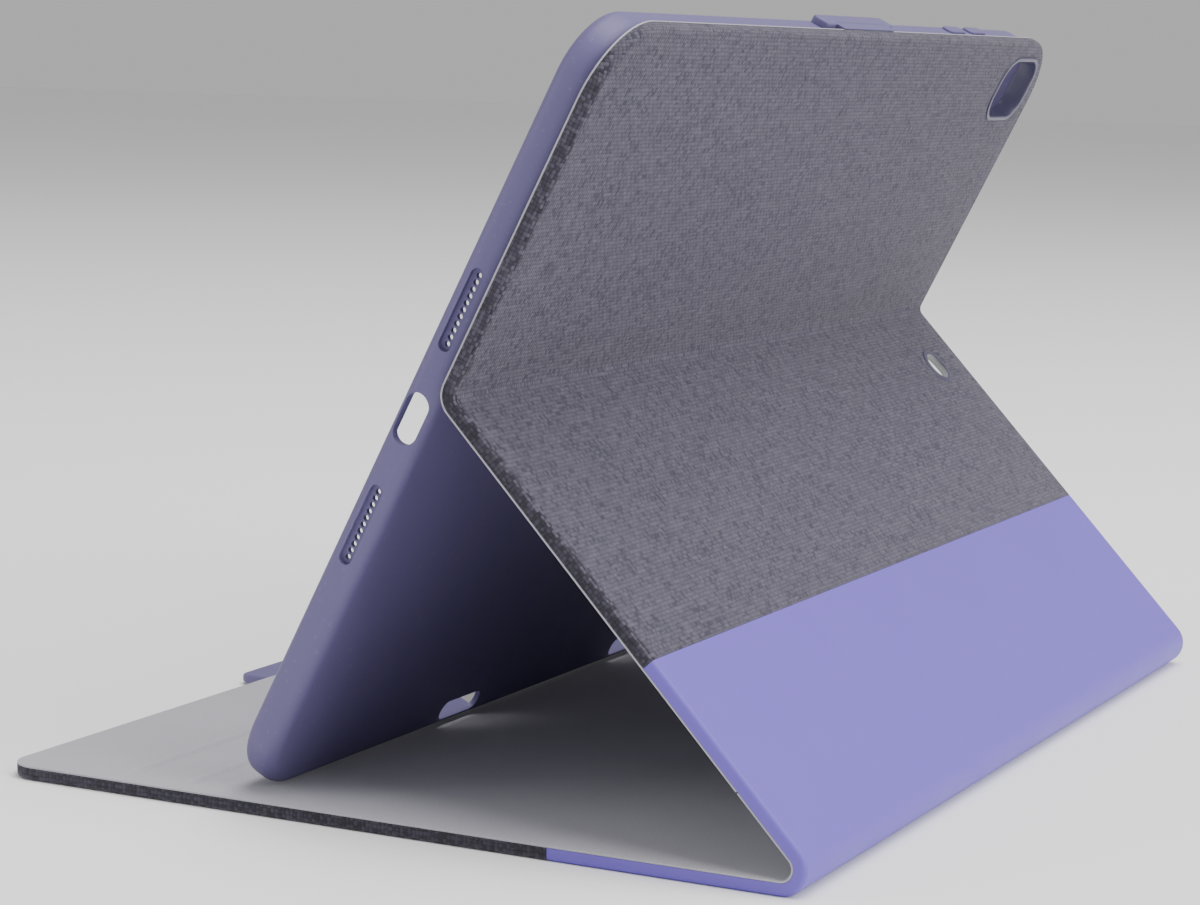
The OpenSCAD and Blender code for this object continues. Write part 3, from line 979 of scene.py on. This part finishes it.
def topBar(name, x, y0, y1, z, long, high):
    # the same, running through the top wall
    piece = addBlock(name, (x - long / 2, y0, z - high / 2), (x + long / 2, y1, z + high / 2))
    pickEdges(piece, lambda a, b: near(a.x, b.x) and near(a.z, b.z))
    roundEdges(high / 2 * 0.999, 8)
    return piece


def backBar(name, x, y, z0, z1, long, high):
    piece = addBlock(name, (x - long / 2, y - high / 2, z0), (x + long / 2, y + high / 2, z1))
    pickEdges(piece, lambda a, b: near(a.x, b.x) and near(a.y, b.y))
    roundEdges(high / 2 * 0.999, 8)
    return piece


def trayCutters():
    half = tray["width"] / 2
    through = tray["wall"] + 2 * mm
    made = [finishMesh(endBar(
        "portCut", half - through, half + through, trayMiddle, tabletMiddle, port["long"], port["high"]))]
    row = (speakers["count"] - 1) * speakers["pitch"]
    for place in speakers["places"]:
        y = trayMiddle + place
        made.append(finishMesh(endBar(
            "speakerCut", half - speakers["deep"], half + 3 * mm, y, tabletMiddle, row + speakers["slot"],
            speakers["slot"])))
        for i in range(speakers["count"]):
            made.append(finishMesh(addRound(
                "holeCut", (half - 2 * mm, y - row / 2 + i * speakers["pitch"], tabletMiddle),
                speakers["hole"] / 2, 5 * mm, sides=14, turned=(0, math.pi / 2, 0))))
    made.append(finishMesh(addRound(
        "plugCut", (-half, -tray["below"] + tray["tabletEdge"] + plugHole["up"], tabletMiddle),
        plugHole["radius"], 8 * mm, sides=40, turned=(0, math.pi / 2, 0))))
    for x in slots["places"]:
        made.append(finishMesh(backBar(
            "slotCut", x, -tray["below"] + slots["up"], -2 * mm, 4 * mm, slots["long"], slots["high"])))
    made.append(cameraCutter(holes["rim"]))
    made.append(finishMesh(addRound("soundCut", (*holes["sound"], 0), holes["trayHole"], 10 * mm)))
    long, high = (button[key] + 2 * button["gap"] for key in ("long", "high"))
    for key in ("volumeUp", "volumeDown"):
        made.append(finishMesh(topBar(
            "buttonCut", buttonPlaces[key], trayTop - through, trayTop + 2 * mm, tabletMiddle, long, high)))
    made.append(finishMesh(endBar(
        "buttonCut", -half - 2 * mm, -half + through, buttonPlaces["power"], tabletMiddle, long, high)))
    low = -tray["below"] + tray["wall"]
    for x in pockets["places"]:
        made.append(finishMesh(addBlock(
            "magnetCut", (x - pockets["half"], low - pockets["deep"], pockets["from"]),
            (x + pockets["half"], low + 1 * mm, pockets["to"]))))
    return made


def insideTray(point):
    # how far a point lies inside the tray's outline
    turn = tray["cornerRound"]
    over = Vector((abs(point.x) - tray["width"] / 2 + turn, abs(point.y - trayMiddle) - tray["height"] / 2 + turn))
    if min(over) > 0:
        return turn - over.length
    return turn - max(over)


def makeTray():
    half, low, high = tray["width"] / 2, -tray["below"], trayTop
    piece = addBlock("trayShell", (-half, low, tray["back"]), (half, high, tray["front"]))
    pickEdges(piece, lambda a, b: near(a.x, b.x) and near(a.y, b.y))
    roundEdges(tray["cornerRound"], 16)
    for z in (tray["back"], tray["front"]):
        pickEdges(piece, lambda a, b: near(a.z, z) and near(b.z, z))
        roundEdges(tray["edgeRound"], 8)
    pickFaces(piece, lambda middle, normal: normal.z > 0.999)
    bpy.ops.mesh.inset(thickness=tray["wall"] + tray["lipReach"] - tray["edgeRound"])
    drawOn((0, 0, tray["lipUnder"] - tray["front"]))
    drawOn((0, 0, 0))
    wide = (half - tray["wall"]) / (half - tray["wall"] - tray["lipReach"])
    tall = (tray["height"] / 2 - tray["wall"]) / (tray["height"] / 2 - tray["wall"] - tray["lipReach"])
    bpy.ops.transform.resize(value=(wide, tall, 1), center_override=(0, trayMiddle, 0))
    drawOn((0, 0, tray["floor"] - tray["lipUnder"]))

    # the lip's own edge, softened: the rim of the open front
    reach = tray["wall"] + tray["lipReach"]
    pickEdges(piece, lambda a, b: all(
        near(c.z, tray["front"]) and near(insideTray(c), reach, 0.15 * mm) for c in (a, b)))
    bpy.ops.mesh.bevel(offset=tray["lipSoft"], segments=3, affect="EDGES")
    finishMesh(piece)
    cutWith(piece, trayCutters())
    placeOn(piece, upperFrame)
    smooth(piece, 35)
    paint(piece, "rubber")
    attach(piece, "tray")
    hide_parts("tray_shell")


dock = {"width": 40 * mm, "tongue": 31 * mm, "rise": 1.8 * mm, "from": 1.3 * mm, "to": 5.9 * mm,
        "sunk": 0.3 * mm, "endRound": 1.2 * mm, "topRound": 0.5 * mm, "soft": 0.25 * mm}


def makeDock():
    # the raised dock for the flap, with its tongue over the panel's edge
    z0, z1 = tray["back"] + dock["from"], tray["back"] + dock["to"]
    half, tongue = dock["width"] / 2, dock["tongue"] / 2
    block = addBlock("latchDock", (-half, trayTop - dock["sunk"], z0), (half, trayTop + dock["rise"], z1))
    pickEdges(block, lambda a, b: near(a.x, b.x) and near(a.z, b.z))
    roundEdges(dock["endRound"], 5)
    pickEdges(block, lambda a, b: near(a.y, trayTop + dock["rise"]) and near(b.y, trayTop + dock["rise"]))
    roundEdges(dock["topRound"], 3)
    finishMesh(block)
    lip = addBlock("dockTongue", (-tongue, trayTop, skinTop), (tongue, trayTop + dock["rise"], z0 + 1 * mm))
    finishMesh(lip)
    cutter = addBlock("tongueCut", (-tongue - 1 * mm, trayTop - 1 * mm, skinTop - 1 * mm),
                      (tongue + 1 * mm, case["upperLength"], 0.05 * mm))
    finishMesh(cutter)
    cutWith(lip, [cutter])
    softEdges(lip, dock["soft"], 2, 40)
    piece = joinInto([block, lip])
    placeOn(piece, upperFrame)
    smooth(piece, 40)
    paint(piece, "rubber")
    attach(piece, "tray")
    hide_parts("latch_dock")


flap = {"width": 50 * mm, "length": 8.6 * mm, "gap": 0.9 * mm, "top": -0.5 * mm, "thick": 2.2 * mm,
        "cornerRound": 3 * mm, "edgeRound": 0.7 * mm}


def makeFlap():
    half = flap["width"] / 2
    near0 = -case["frontLength"] - flap["gap"]
    far = near0 - flap["length"]
    piece = addBlock("closingFlap", (-half, far, flap["top"] - flap["thick"]), (half, near0, flap["top"]))
    pickEdges(piece, lambda a, b: near(a.x, b.x) and near(a.y, far) and near(b.y, far))
    roundEdges(flap["cornerRound"], 8)
    pickEdges(piece, lambda a, b: near(a.z, b.z) and not (near(a.y, near0) and near(b.y, near0)))
    roundEdges(flap["edgeRound"], 4)
    finishMesh(piece)
    placeOn(piece, frontFrame)
    smooth(piece, 40)
    paint(piece, "rubber")
    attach(piece, "closing_flap")
    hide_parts("latch_flap")


def makeButton(name, piece, node, body):
    piece.name = name
    finishMesh(piece)
    softEdges(piece, button["soft"], 3, 50)
    placeOn(piece, upperFrame)
    smooth(piece, 40)
    paint(piece, "rubber")
    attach(piece, body)
    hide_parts(node)


def makeButtons():
    inner = tray["wall"] - button["inside"]
    for key, node in (("volumeUp", "volume_up"), ("volumeDown", "volume_down")):
        bar = topBar(key, buttonPlaces[key], trayTop - inner, trayTop + button["out"], tabletMiddle,
                     button["long"], button["high"])
        makeButton(key + "Button", bar, node, node + "_key")
    half = tray["width"] / 2
    bar = endBar("power", -half - button["out"], -half + inner, buttonPlaces["power"], tabletMiddle,
                 button["long"], button["high"])
    makeButton("powerButton", bar, "power_button", "power_key")


makeTray()
print("tray is made")
makeDock()
makeFlap()
makeButtons()
print("dock, flap and buttons are on")

for names, finish in (
    (("front_board", "lower_board", "spine_board", "upper_board"), "board"),
    (("stand_magnets", "wake_magnets", "latch_magnets", "tray_magnets", "latch_keeper"), "magnet"),
):
    for name in names:
        paint(frame["nodes"][name], finish)
